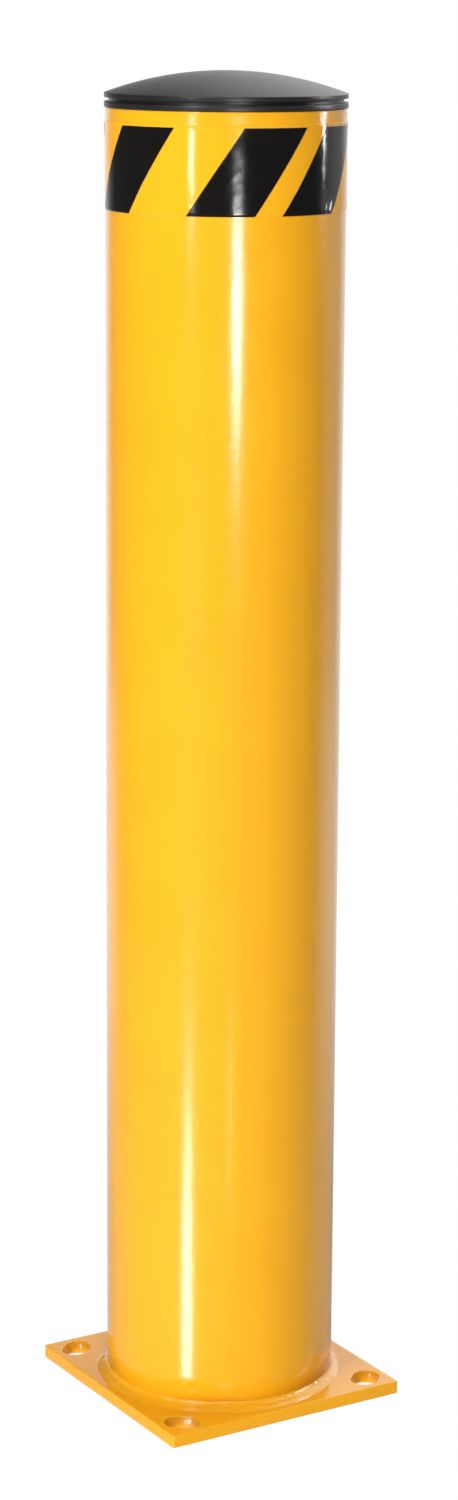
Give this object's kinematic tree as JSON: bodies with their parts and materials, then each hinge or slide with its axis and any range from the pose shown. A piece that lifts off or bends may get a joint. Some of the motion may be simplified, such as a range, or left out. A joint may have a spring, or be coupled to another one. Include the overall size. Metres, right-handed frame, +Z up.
{
  "type": "safety bollard",
  "caption": "Round steel safety bollard with a welded square base plate, slotted for anchors, a push-in domed cap and a striped reflective band.",
  "frame": {"origin": "middle of the base plate's underside, on the floor", "axes": "+Z up along the post's axis; X and Y parallel to the base plate's sides"},
  "size_m": [0.1906, 0.1906, 0.9484],
  "materials": {
    "plate_paint": "yellow powder coat on steel plate, glossy",
    "tube_paint": "yellow powder coat on steel tube, glossy",
    "weld_paint": "yellow powder coat over a weld bead, glossy",
    "cap_rubber": "black moulded rubber, satin",
    "yellow_film": "yellow reflective adhesive film, glossy",
    "black_film": "black adhesive film, glossy"
  },
  "bodies": {
    "post": {"base_plate": "plate_paint", "post_tube": "tube_paint", "weld_bead": "weld_paint", "tape_film": "yellow_film", "tape_bar_1": "black_film", "tape_bar_2": "black_film", "tape_bar_3": "black_film", "tape_bar_4": "black_film", "tape_bar_5": "black_film", "tape_bar_6": "black_film"},
    "cap": {"end_cap": "cap_rubber"}
  },
  "joints": [
    {"name": "cap_lift", "type": "slide", "parent": "post", "child": "cap", "axis": [0, 0, 1], "range_m": [0, 0.04]}
  ]
}
